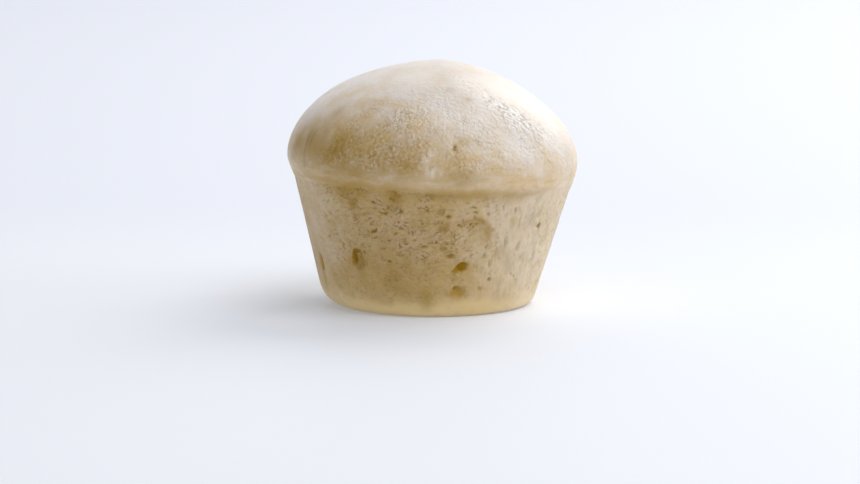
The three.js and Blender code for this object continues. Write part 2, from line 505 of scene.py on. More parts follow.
# Lesser pores of the front, by direction, height, width, tallness, depth and tilt.
SMALL_PORES = (
    Cell(-1.2, 27.7, 1.2, 1, 0.5),
    Cell(-12.5, 27.4, 1.3, 0.9, 0.5),
    Cell(-13.5, 24.5, 0.9, 0.9, 0.6),
    Cell(2.8, 19.7, 0.8, 0.9, 0.6),
    Cell(-2, 18.6, 1.7, 0.7, 0.5),
    Cell(-7, 19.9, 1.2, 0.7, 0.4, 20),
    Cell(-24.5, 29.4, 1.9, 0.6, 0.5, -25),
    Cell(-20, 26.9, 3, 0.6, 0.5, -8),
    Cell(-15.5, 21.8, 1.6, 0.6, 0.4, 30),
    Cell(-24.6, 22.2, 0.7, 1.9, 0.6, -20),
    Cell(-25.8, 21.6, 0.6, 1.5, 0.5, -30),
    Cell(-19.2, 14.3, 1.4, 0.6, 0.5),
    Cell(-21.7, 17.6, 1.9, 0.5, 0.4, 15),
    Cell(-44.2, 17.6, 1, 1.6, 0.4, 20, stain_and_shade=0.6),
    Cell(-52.8, 19.4, 1, 1, 0.4, stain_and_shade=0.5),
    Cell(-53, 24.9, 2.6, 0.5, 0.4, -45, stain_and_shade=0.5),
    Cell(-49, 25.4, 1.6, 0.5, 0.4, -30, stain_and_shade=0.5),
    Cell(18.5, 28.3, 1.6, 0.8, 0.5, stain_and_shade=0.7),
    Cell(18.9, 27, 1.7, 0.8, 0.5, stain_and_shade=0.7),
    Cell(25, 26.5, 1.5, 1.5, 0.4, stain_and_shade=0.4),
    Cell(38.3, 27.1, 1.1, 1.7, 0.5, stain_and_shade=0.4),
    Cell(28.5, 22.2, 1.4, 1.2, 0.4, stain_and_shade=0.3),
    Cell(26.4, 18, 0.9, 1.6, 0.4, stain_and_shade=0.5),
    Cell(26.2, 15.9, 0.9, 1.8, 0.4, stain_and_shade=0.4),
    Cell(44.5, 17.4, 1.5, 3.2, 0.5, stain_and_shade=0.35),
    Cell(32, 16.2, 1.2, 3.6, 0.4, stain_and_shade=0.3),
    Cell(36.3, 18.6, 1.2, 4.4, 0.4, stain_and_shade=0.3),
    Cell(29.5, 13.4, 1.2, 2.6, 0.4, stain_and_shade=0.35),
    Cell(31, 9.5, 1.3, 1.3, 0.6, stain_and_shade=0.7),
    Cell(26.7, 7, 1.6, 1.4, 0.4, stain_and_shade=0.35),
    Cell(46.5, 9.6, 0.7, 0.7, 0.4),
    Cell(48.8, 8.6, 0.7, 0.7, 0.4),
    Cell(44, 10.2, 0.7, 0.6, 0.4),
)

# A row of pinholes under the arch's brow.
BROW_PORES = tuple(
    Cell(12.2 + 1.4 * step, 23.5 + 0.3 * (-1) ** step, 0.65, 0.6, 0.9) for step in range(7)
)

# The smooth hollow under the arch.
UNDER_ARCH = Mark(19.6, 20.6, 7, 5.4)


@dataclass
class Draws:
    """Random numbers from 0 to 1 by the Mulberry32 rule, in a fixed order from a seed."""

    state: int
    step: int = 0x6D2B79F5

    def next(self) -> float:
        """The next number: the state steps on and is mixed by shifts and products.

        Returns:
            The number.
        """
        self.state = (self.state + self.step) & WORD
        mixed = self.state
        mixed = ((mixed ^ (mixed >> 15)) * (mixed | 1)) & WORD
        mixed ^= (mixed + (mixed ^ (mixed >> 7)) * (mixed | 61)) & WORD
        return ((mixed ^ (mixed >> 14)) & WORD) / (WORD + 1)


@dataclass(frozen=True)
class FarCells:
    """The open cells of the far side: evenly turned, with seeded height and size."""

    count: int = 20
    seed: int = 41
    start: float = 78.0
    end: float = 284.0
    lowest: float = 5.0
    highest: float = 26.0
    smallest: float = 1.3
    widest: float = 3.6
    deepest: float = 1.8
    squat: float = 0.7
    tall: float = 1.3
    stain_and_shade: float = 0.7
    glow: float = 0.5
    rim: float = 0.4

    def cells(self) -> list[Cell]:
        """Makes the cells; the number drawn as the rule is seeded is left out.

        Returns:
            The cells in order of direction.
        """
        draws = Draws(self.seed)
        draws.next()
        looks = {"stain_and_shade": self.stain_and_shade, "glow": self.glow, "rim": self.rim}
        made = []
        for number in range(self.count):
            direction = lerp(self.start, self.end, (number + draws.next()) / self.count)
            height = lerp(self.lowest, self.highest, draws.next())
            size = draws.next() ** 2
            width = lerp(self.smallest, self.widest, size)
            tall = width * lerp(self.squat, self.tall, draws.next())
            depth = lerp(self.smallest / 2.0, self.deepest, draws.next() * (1.0 - size / 2.0))
            made.append(Cell(direction, height, width, tall, depth, **looks))
        return made


# Spots where the dough is moist and amber, on the shoulders, and painted shade in the folds, under the
# lip and inside the hood.
MOIST_AND_SHADED_SPOTS = (
    Mark(-48, 42.4, 28, 11.5, 0.6),
    Mark(-64, 40.4, 14, 9, 0.3),
    Mark(-41, 41.6, 5, 6, 0.4),
    Mark(-50, 43.5, 2.4, 7, 0.3),
    Mark(-57.8, 43.4, 1.2, 4.4, 0.6, -6),
    Mark(-60.4, 40.4, 1.3, 6, 0.75),
    Mark(-69, 42.5, 5, 9, 0.5),
    Mark(-25, 42, 30, 11.5, 0.55),
    Mark(-40, 36, 30, 6, 0.3),
    Mark(-30, 37, 44, 5, 0.16),
    Mark(4, 45.4, 16, 5, 0.14),
    Mark(-36, 33.4, 16, 3, 0.25),
    Mark(-50, 50.5, 4.5, 5, 0.35),
    Mark(-14, 39.4, 7, 5, 0.5),
    Mark(-9.5, 38.2, 4, 3.5, 0.55),
    Mark(12, 35.8, 8, 4.6, 0.8),
    Mark(4.6, 37, 4, 3.4, 0.15),
    Mark(-11.5, 36, 8, 4, 0.3),
    Mark(-46, 36.8, 26, 5, 0.24),
    Mark(2, 47, 4.5, 3, 0.35),
    Mark(16, 49.2, 2.4, 2, 0.35),
    Mark(13.5, 55.7, 2.6, 2, 0.35),
    Mark(22.5, 53.5, 2.4, 1.6, 0.35),
    Mark(-38, 31.8, 9, 2.8, 0.7),
    Mark(-36.5, 31.6, 6, 4.4, 0.7),
    Mark(-34.8, 29.6, 3, 4.2, 0.6),
    Mark(-34.8, 28.6, 2.6, 3.4, 0.85),
    Mark(-28.5, 32, 8, 2.8, 0.5),
    Mark(-15, 31, 5.2, 5, 0.8),
    Mark(-2, 31.7, 16, 2.4, 0.5),
    Mark(10, 31.4, 18, 2, 0.45),
    Mark(33, 31, 4, 2, 0.45),
    Mark(42, 30.6, 12, 1.6, 0.3),
    Mark(-67, 8, 1.6, 8, 0.45),
    Mark(-17, 9.5, 32, 13, 0.38),
    Mark(-12, 7, 26, 4.4, 0.24),
    Mark(-35, 14.4, 3.6, 5.4, 0.5),
    Mark(-33.5, 16, 2.4, 3, 0.3),
    Mark(14, 44.6, 5, 3, 0.45),
    Mark(20, 30.8, 16, 3.2, 0.3),
    Mark(36, 30, 12, 3, 0.3),
    Mark(-20, 12.5, 10, 8, 0.35),
    Mark(-24, 19, 16, 14, 0.2),
    Mark(16.5, 12, 6, 5, 0.2),
    Mark(14.5, 6.4, 4.8, 3.8, 0.5),
    Mark(12, 24.2, 3.6, 1.8, 0.35),
    Mark(17.5, 24.6, 4.8, 2.2, 0.5),
    Mark(22.4, 24, 3.2, 2.8, 0.65),
    Mark(25.4, 22.4, 2.2, 3.6, 0.6),
    Mark(5.6, 22.9, 2.6, 2, 0.3),
    Mark(5.4, 18.2, 2.6, 2.6, 0.25),
    Mark(-1, 5, 3.2, 6, 0.55),
    Mark(140, 42, 18, 8, 0.4),
    Mark(205, 40, 26, 7, 0.4),
    Mark(250, 44, 14, 11, 0.3),
    Mark(120, 30, 10, 4, 0.5),
    Mark(190, 30.5, 14, 4, 0.6),
    Mark(262, 30, 9, 4, 0.5),
)

# Spots where the dough is toned tan, or paler where the depth is below 0.
TAN_SPOTS = (
    Mark(50.4, 43, 2.4, 4.4, 0.4, 14),
    Mark(51.6, 39.6, 3.2, 5.4, 0.5, 10),
    Mark(56, 36, 12, 6, 0.4),
    Mark(14, 37.6, 24, 5, 0.25),
    Mark(12, 40, 18, 6, 0.5),
    Mark(20, 34.6, 18, 2.6, 0.4),
    Mark(54, 33.4, 14, 3, 0.4),
    Mark(-12, 49, 22, 8, 0.25),
    Mark(-26, 53, 16, 4.4, 0.3),
    Mark(-8, 39.4, 6, 6, 0.3),
    Mark(10.5, 38, 5, 4, 0.35),
    Mark(40, 33, 12, 3, 0.35),
    Mark(52, 47, 5, 5, 0.3),
    Mark(-68, 47.5, 9, 6, -0.4),
    Mark(216, 43, 3, 9, 0.4, -12),
)

# Ridges (above 0) and creases (below 0) of the skin, by length, width and height.
# Ridges are painted pale as a highlight, and creases darker as painted shade.
FOLDS = (
    Mark(-0.9, 41, 3.2, 5.4, 0.16, 24),
    Mark(0.4, 38.2, 3.2, 4.4, 0.14, 34),
    Mark(3, 36.6, 1.6, 2.4, 0.08, 20),
    Mark(-64, 34.2, 5.5, 1, 0.16, -24),
    Mark(-60, 41.8, 0.9, 6.5, -0.14, 4),
    Mark(-52.8, 24, 4, 0.7, -0.2, -40),
    Mark(-54, 8.4, 1.6, 7, -0.14, 30),
    Mark(160, 41, 1, 7, -0.16, 10),
    Mark(225, 43, 6, 1, -0.14, 24),
)


# ------------------------------------------------------------------------ bun's surface


@dataclass
class Grid:
    """The smooth grid of the bun, and what is worked out on it point by point."""

    form: BunForm
    points: Array
    direction: Array
    height: Array
    relief: Array
    masks: dict[str, Array] = field(default_factory=dict)

    def over_crease(self) -> Array:
        """How far each point's height is over the crease."""
        return self.height - self.form.crease_height.at(self.direction)

    def haze(self, mark: Mark) -> Array:
        """A mark's soft spot on the grid."""
        return mark.haze(self.form, self.points)


@dataclass(frozen=True)
class Patch:
    """A soft area of the bun, full in one direction and, where it has one, at one height."""

    strength: float
    direction: float
    width: float
    height: float = 0.0
    reach: float = math.inf

    def on(self, grid: Grid) -> Array:
        """The strength at each point: it falls off as a peak over the turn and the height."""
        turn = turn_between(grid.direction, self.direction)
        return self.strength * peak(turn, 0.0, self.width) * peak(grid.height, self.height, self.reach)

    def spared(self, grid: Grid) -> Array:
        """1 less the strength at each point, for what is left out of the area."""
        return 1.0 - self.on(grid)


def total(patches: tuple[Patch, ...], grid: Grid) -> Array:
    """The patches' strengths at each point, added up."""
    return sum(patch.on(grid) for patch in patches)


@dataclass(frozen=True)
class Bands:
    """The bun's bands, from the foot, yellow and painted paler as bounce light from below, through the
    crumb and the lip to the skin.
    """

    waves: Waves = Waves(6.0, 77)
    crumb_start: Span = (2.0, 5.0)
    crumb_end: Span = (0.0, -1.0)
    crumb_gap: Patch = Patch(0.55, -66.0, 17.0)
    foot_end: Span = (6.6, 0.6)
    foot_waviness: float = 1.5
    foot_gap: Patch = Patch(0.6, 66.0, 40.0)
    tail_end: Span = (15.0, 6.0)
    tail_share: float = 0.4
    tail_gap: Patch = Patch(0.8, 54.0, 30.0)
    skin_start: Span = (-0.2, 1.8)
    lip_peak: Span = (2.4, 2.6)
    drawn_front: Patch = Patch(1.0, 46.0, 24.0)
    drawn_back: Patch = Patch(1.0, 215.0, 40.0)

    def press(self, grid: Grid) -> None:
        """Adds the masks foot, crumb, skin, lip, and drawn, where cells are drawn out upwards.

        Args:
            grid: The grid that takes the masks.
        """
        wavy = self.waves.at(grid.points)
        rise = grid.over_crease()
        # The foot's painted bounce light reaches part way up the crumb as a tail.
        tail = self.tail_share * smooth(grid.height, *self.tail_end) * self.tail_gap.spared(grid)
        foot = smooth(grid.height + self.foot_waviness * wavy, *self.foot_end) + tail
        grid.masks["foot"] = np.clip(foot, 0.0, 1.0) * self.foot_gap.spared(grid)
        crumb = smooth(grid.height + wavy, *self.crumb_start) * smooth(rise, *self.crumb_end)
        grid.masks["crumb"] = crumb * self.crumb_gap.spared(grid)
        grid.masks["skin"] = smooth(rise, *self.skin_start)
        grid.masks["lip"] = peak(rise, *self.lip_peak)
        grid.masks["drawn"] = np.maximum(self.drawn_front.on(grid), self.drawn_back.on(grid))


@dataclass(frozen=True)
class Crowding:
    """How crowded the side is with open cells."""

    least: float = 0.26
    cluster: float = 0.7
    upper_start: Span = (11.0, 17.0)
    upper: tuple[Patch, ...] = (
        Patch(1.0, 16.0, 22.0),
        Patch(0.55, -16.0, 12.0),
        Patch(0.7, 236.0, 30.0),
    )
    whole: Patch = Patch(0.6, 150.0, 26.0)
    waves: Waves = Waves(8.0, 71)
    waviness: float = 0.22
    calm_side: Patch = Patch(0.6, -64.0, 20.0)
    calm_low: Span = (12.0, 6.0)
    calm_high: Span = (27.0, 31.0)
    calm: float = 0.5
    under_arch: float = 0.75

    def press(self, grid: Grid) -> None:
        """Adds the mask open, from 0 to 1.

        Args:
            grid: The grid that takes the mask.
        """
        upper = smooth(grid.height, *self.upper_start) * total(self.upper, grid)
        crowd = self.least + self.cluster * (upper + self.whole.on(grid))
        crowd = crowd + self.waviness * self.waves.at(grid.points)
        calm = self.calm_side.spared(grid) - self.calm * smooth(grid.height, *self.calm_low)
        calm = calm * (1.0 - self.calm * smooth(grid.height, *self.calm_high))
        calm = calm * (1.0 - self.under_arch * grid.haze(UNDER_ARCH))
        grid.masks["open"] = np.clip(crowd, 0.0, 1.0) * calm


@dataclass(frozen=True)
class Warmth:
    """How tan the dough is, by direction and height, at the lip and in spots; warmer near the base as
    painted glow.
    """

    around: float = 0.66
    sides: tuple[Patch, ...] = (
        Patch(0.42, -14.0, 36.0),
        Patch(-0.7, 64.0, 36.0),
        Patch(0.25, -70.0, 40.0),
    )
    waves: Waves = Waves(24.0, 75)
    waviness: float = 0.25
    raised: tuple[Patch, ...] = (Patch(-7.0, -48.0, 30.0), Patch(4.5, 30.0, 30.0))
    upper_end: Span = (54.5, 38.0)
    low_end: Span = (15.0, 5.0)
    low: float = 0.35
    low_gap: Patch = Patch(0.3, 64.0, 36.0)
    shoulder_start: Span = (-1.0, 1.0)
    shoulder_end: Span = (43.0, 35.0)
    shoulder_gap: Patch = Patch(0.7, 38.0, 13.0)
    shoulder: float = 0.45
    lip: float = 0.45
    cool_side: Patch = Patch(0.7, -58.0, 21.0)

    def press(self, grid: Grid) -> None:
        """Adds the mask warm, from 0 to 1.

        Args:
            grid: The grid that takes the mask.
        """
        around = self.around + total(self.sides, grid) + self.waviness * self.waves.at(grid.points)
        upper = smooth(grid.height + total(self.raised, grid), *self.upper_end)
        # Warmer near the base: painted glow of light through the dough.
        low = smooth(grid.height, *self.low_end) * (self.low - self.low_gap.on(grid))
        shoulder = smooth(grid.over_crease(), *self.shoulder_start)
        shoulder = shoulder * smooth(grid.height, *self.shoulder_end)
        shoulder = self.shoulder * shoulder * self.shoulder_gap.spared(grid)
        warm = around * upper + low + self.lip * grid.masks["lip"] + shoulder
        warm = warm - self.cool_side.on(grid) * (1.0 - grid.masks["skin"])
        for spot in TAN_SPOTS:
            warm = warm + spot.depth * grid.haze(spot)
        grid.masks["warm"] = np.clip(warm, 0.0, 1.0)


@dataclass(frozen=True)
class Pebbling:
    """Where the dome's skin is pebbled, and where it is nicked and painted with glints, high on the
    right.
    """

    start: Span = (2.5, 6.0)
    bare_side: Patch = Patch(1.0, -66.0, 27.0)
    bare_end: Span = (57.0, 48.0)
    sheer_side: Patch = Patch(0.85, 96.0, 34.0)
    sheer_start: Span = (34.0, 40.0)
    patch_waves: Waves = Waves(7.0, 91, 3)
    patch_step: Span = (-0.6, 0.4)
    patch: float = 0.4
    raised: tuple[Patch, ...] = (Patch(4.0, 32.0, 28.0), Patch(3.5, -14.0, 22.0))
    worn_start: Span = (44.0, 54.0)
    worn: float = 0.9
    least: float = 0.55
    facing: tuple[Patch, ...] = (Patch(0.45, -25.0, 50.0), Patch(0.05, 32.0, 28.0))
    nick_side: Patch = Patch(1.2, 43.0, 14.0)
    nick_fall: float = 0.36
    nick_centre: float = 44.0
    nick_peak: Span = (49.0, 3.2)

    def press(self, grid: Grid) -> None:
        """Adds the masks pebbled and nicked; the nicks' line falls towards the right.

        Args:
            grid: The grid that takes the masks.
        """
        bare = 1.0 - self.bare_side.on(grid) * smooth(grid.height, *self.bare_end)
        sheer = 1.0 - self.sheer_side.on(grid) * smooth(grid.height, *self.sheer_start)
        patchy = smooth(self.patch_waves.at(grid.points), *self.patch_step)
        patchy = lerp(1.0 - self.patch, 1.0, patchy)
        worn = smooth(grid.height - total(self.raised, grid), *self.worn_start)
        facing = self.least + total(self.facing, grid)
        pebbled = patchy * bare * sheer * (1.0 - self.worn * worn) * facing
        grid.masks["pebbled"] = pebbled * smooth(grid.over_crease(), *self.start)
        fallen = grid.height + self.nick_fall * turn_between(grid.direction, self.nick_centre)
        nicked = self.nick_side.on(grid) * peak(fallen, *self.nick_peak)
        grid.masks["nicked"] = np.clip(nicked, 0.0, 1.0)


@dataclass(frozen=True)
class DullnessAndShade:
    """Painted shade on the skin's top, right side and under the lip, random duller patches, and a
    duller patch of the crumb.
    """

    skin: tuple[Patch, ...] = (
        Patch(0.9, 15.0, 18.0, 54.5, 4.5),
        Patch(1.0, 42.0, 18.0, 48.5, 5.5),
        Patch(0.4, -28.0, 34.0, 37.0, 3.0),
        Patch(0.5, 46.0, 26.0, 56.5, 4.0),
        Patch(0.7, 57.0, 14.0, 45.0, 5.0),
    )
    crumb: Patch = Patch(0.35, -20.0, 40.0, 21.0, 7.0)
    waves: Waves = Waves(11.0, 93)
    waves_step: Span = (0.1, 0.9)
    waviness: float = 0.35

    def press(self, grid: Grid) -> None:
        """Adds the mask of painted shade and duller tone, from 0 to 1.

        Args:
            grid: The grid that takes the mask.
        """
        wavy = smooth(self.waves.at(grid.points), *self.waves_step)
        skin = total(self.skin, grid) + self.waviness * wavy
        # Painted shade, with random duller patches, on the skin; a duller, greyer tone on the crumb.
        dull = lerp(self.crumb.on(grid), skin, grid.masks["skin"])
        grid.masks["dull"] = np.clip(dull, 0.0, 1.0)


@dataclass(frozen=True)
class SoftEdge:
    """The soft edge under the lip, where dough fills out the step of the crease."""

    reach: float = 1.2
    even: float = 0.75
    waves: Waves = Waves(6.0, 99)

    def press(self, grid: Grid) -> None:
        """Spreads the overhang over a taller band, unevenly.

        Args:
            grid: The grid that takes the relief.
        """
        rise = grid.over_crease()
        spread = smooth(rise, -self.reach, 0.0) - smooth(rise, -grid.form.crease_band, 0.0)
        amount = self.even + (1.0 - self.even) * self.waves.at(grid.points)
        grid.relief += grid.form.overhang.at(grid.direction) * spread * amount


@dataclass(frozen=True)
class Crumb:
    """The open crumb of the side: a foam of irregular cells, with larger bubbles in it."""

    foam: Foam = Foam(1.9, 0.42, 0.75, 0.75, 11)
    tall_foam: Foam = Foam(1.5, 0.42, 0.8, 0.7, 31, 2.4)
    bubbles: Pores = Pores(2.6, 0.35, 0.8, 0.42, 0.65, 21)
    holes: Pores = Pores(5.6, 0.5, 1.05, 0.3, 0.85, 61)
    hole_crowd: Span = (0.3, 0.6)
    ragged: float = 0.34
    ragged_waves: Waves = Waves(1.4, 201)
    least: float = 0.3
    lapse_waves: Waves = Waves(3.4, 17)
    lapse_step: Span = (-0.8, 0.5)
    pit_depth: float = 0.2
    pit_waves: Waves = Waves(3.0, 15, 3)
    pit_step: Span = (0.1, 0.8)
    foam_mark: float = 0.55
    foam_start: float = 0.02
    pit_mark: float = 0.3
    bubble_mark: float = 0.75
    bubble_step: Span = (0.08, 0.42)
    hole_step: Span = (0.15, 0.7)

    def press(self, grid: Grid) -> None:
        """Sinks the cells and bubbles into the grid, and adds the masks hollow, painted darker as tone
        and shade, and wall, painted lighter.

        Args:
            grid: The grid that takes the relief and the masks.
        """
        crumb, drawn, crowd = (grid.masks[name] for name in ("crumb", "drawn", "open"))
        warped = self.ragged_waves.pushed(grid.points, self.ragged)
        even, even_wall = self.foam.depth(warped)
        tall, tall_wall = self.tall_foam.depth(warped)
        strength = lerp(self.least, 1.0, crowd)
        lapse = smooth(self.lapse_waves.at(grid.points), *self.lapse_step)
        foam = lerp(even, tall, drawn) * strength * lapse
        pits = smooth(self.pit_waves.at(grid.points), *self.pit_step) * strength
        bubbles = self.bubbles.depth(warped) * crowd
        holes = self.holes.depth(warped) * smooth(crowd, *self.hole_crowd)
        sunk = np.maximum(foam + self.pit_depth * pits, np.maximum(bubbles, holes))
        grid.relief -= sunk * crumb

        hollow = self.foam_mark * smooth(foam, self.foam_start, self.foam.sink)
        hollow = hollow + self.pit_mark * pits
        hollow = np.maximum(hollow, self.bubble_mark * smooth(bubbles, *self.bubble_step))
        hollow = np.maximum(hollow, smooth(holes, *self.hole_step))
        grid.masks["hollow"] = np.clip(hollow, 0.0, 1.0) * crumb
        grid.masks["wall"] = lerp(even_wall, tall_wall, drawn) * strength * crumb


@dataclass(frozen=True)
class OpenCells:
    """The cells that are open far in, and the lesser pores, each pressed in by name or row."""

    far: FarCells = FarCells()
    ragged: float = 0.28
    ragged_waves: Waves = Waves(1.5, 301)
    edge: float = 0.3
    kept_relief: float = 0.3
    kept_marks: float = 0.3
    darkening_start: float = 0.05
    darkening_full: float = 0.7
    darkening_share: float = 1.1
    shaded_way: tuple[float, float] = (0.5, 0.85)
    shaded_step: Span = (-0.6, 0.8)
    halo: float = 0.4
    halo_spread: float = 2.2
    halo_depth: float = 0.65
    rim_even: float = 0.75
    rim_waviness: float = 0.3
    rim_waves: Waves = Waves(1.4, 95)

    def shade(self, seen: Array) -> Array:
        """How far each point lies towards a cell's shaded wall, at the upper right."""
        return smooth(seen[..., :2] @ np.array(self.shaded_way), *self.shaded_step)

    def press(self, grid: Grid) -> None:
        """Sinks the cells, clears the crumb's marks in them, adds pit (stain and painted shade), shade
        and rim.

        Args:
            grid: The grid that takes the relief and the masks.
        """
        pit, rim, shade, cleared = (np.zeros_like(grid.relief) for _ in range(4))
        points = self.ragged_waves.pushed(grid.points, self.ragged)
        for cell in (*FRONT_CELLS.values(), *SMALL_PORES, *BROW_PORES, *self.far.cells()):
            seen = cell.local(grid.form, points)
            sunk = cell.bowl(seen)
            inside = smooth(sunk, 0.0, self.edge)
            cleared = np.maximum(cleared, inside)
            pressed = lerp(grid.relief, self.kept_relief * grid.relief - sunk, inside)
            grid.relief = np.minimum(grid.relief, pressed)
            full = min(self.darkening_full, self.darkening_share * cell.depth)
            darkened = cell.stain_and_shade * smooth(sunk, self.darkening_start, full)
            # Painted light inside a cell: glow lights its lower left amber, shade darkens its upper
            # right.
            dark = 1.0 - cell.glow * (1.0 - self.shade(seen))
            shade = np.where(darkened > pit, dark, shade)
            pit = np.maximum(pit, darkened)
            rim = np.maximum(rim, cell.crescent(seen))
            if cell.depth > self.halo_depth:
                halo = np.exp(-np.sum(seen**2, axis=-1) / self.halo_spread)
                rim = np.maximum(rim, self.halo * cell.stain_and_shade * halo)
        for name in ("hollow", "wall", "open"):
            grid.masks[name] = grid.masks[name] * lerp(1.0, self.kept_marks, cleared)
        grid.masks["pit"] = pit
        grid.masks["shade"] = shade
        uneven = self.rim_even + self.rim_waviness * self.rim_waves.at(grid.points)
        grid.masks["rim"] = rim * uneven


@dataclass(frozen=True)
class DomeSkin:
    """The smooth skin: slow lumps, fine pebbles, folds and amber patches, in part moist and in part
    painted shade.
    """

    lump: float = 0.14
    lump_waves: Waves = Waves(13.0, 61)
    pebble: float = 0.07
    pebble_waves: Waves = Waves(2.3, 51)
    crinkle: float = 0.12
    crinkle_waves: Waves = Waves(2.6, 55, 3)
    crinkle_reach: float = 0.16
    crinkle_patches: Waves = Waves(5.0, 57)
    crinkle_step: Span = (-0.3, 0.5)
    fray_waves: Waves = Waves(1.5, 87)
    fray: float = 0.9
    fold_even: float = 0.6
    crease_shade: float = 0.6
    moist_and_shade_waves: Waves = Waves(4.5, 81, 3)
    moist_and_shade_even: float = 0.9
    moist_and_shade_waviness: float = 0.28

    def press(self, grid: Grid) -> None:
        """Raises lumps and pebbles; adds the masks crinkle, pale (a painted highlight), and moist
        spots and painted shade.

        Args:
            grid: The grid that takes the relief and the masks.
        """
        pebbled = grid.masks["pebbled"]
        grid.relief += grid.masks["skin"] * self.lump * self.lump_waves.at(grid.points)
        grid.relief += pebbled * self.pebble * self.pebble_waves.at(grid.points)
        crinkle = peak(self.crinkle_waves.at(grid.points), 0.0, self.crinkle_reach)
        crinkle = crinkle * smooth(self.crinkle_patches.at(grid.points), *self.crinkle_step)
        grid.masks["crinkle"] = crinkle
        grid.relief -= self.crinkle * pebbled * crinkle
        pale, moist = self.folded(grid)
        # Amber spots: moist dough, and painted shade in the folds, under the lip and in the hood.
        for spot in MOIST_AND_SHADED_SPOTS:
            moist = 1.0 - (1.0 - moist) * (1.0 - spot.depth * grid.haze(spot))
        uneven = self.moist_and_shade_even + self.moist_and_shade_waviness * self.moist_and_shade_waves.at(grid.points)
        grid.masks["pale"] = np.clip(pale, 0.0, 1.0)
        grid.masks["moist"] = np.clip(moist * uneven, 0.0, 1.0)

    def folded(self, grid: Grid) -> tuple[Array, Array]:
        """Raises the folds and sinks the creases.

        Args:
            grid: The grid that takes the relief.

        Returns:
            How pale the points are on folds, as painted highlight, and how dark in creases, as painted
            shade.
        """
        frayed = np.clip(0.5 + self.fray * self.fray_waves.at(grid.points), 0.0, 1.0)
        marks = {True: np.zeros_like(frayed), False: np.zeros_like(frayed)}
        for fold in FOLDS:
            haze = grid.haze(fold)
            grid.relief += fold.depth * haze * lerp(self.fold_even, 1.0, frayed)
            raised = fold.depth > 0.0
            marks[raised] = np.maximum(marks[raised], haze * frayed)
        return marks[True], self.crease_shade * marks[False]


@dataclass(frozen=True)
class Rings:
    """How many rings of the grid each stretch of the half-section takes."""

    base: int = 4
    corner: int = 14
    side: int = 82
    crease: int = 4
    lip: int = 12
    dome: int = 60


def steps(count: int) -> Array:
    """Shares from 0 to 1 in a count of even steps, with both ends, one to a row."""
    return np.linspace(0.0, 1.0, count + 1)[:, None]


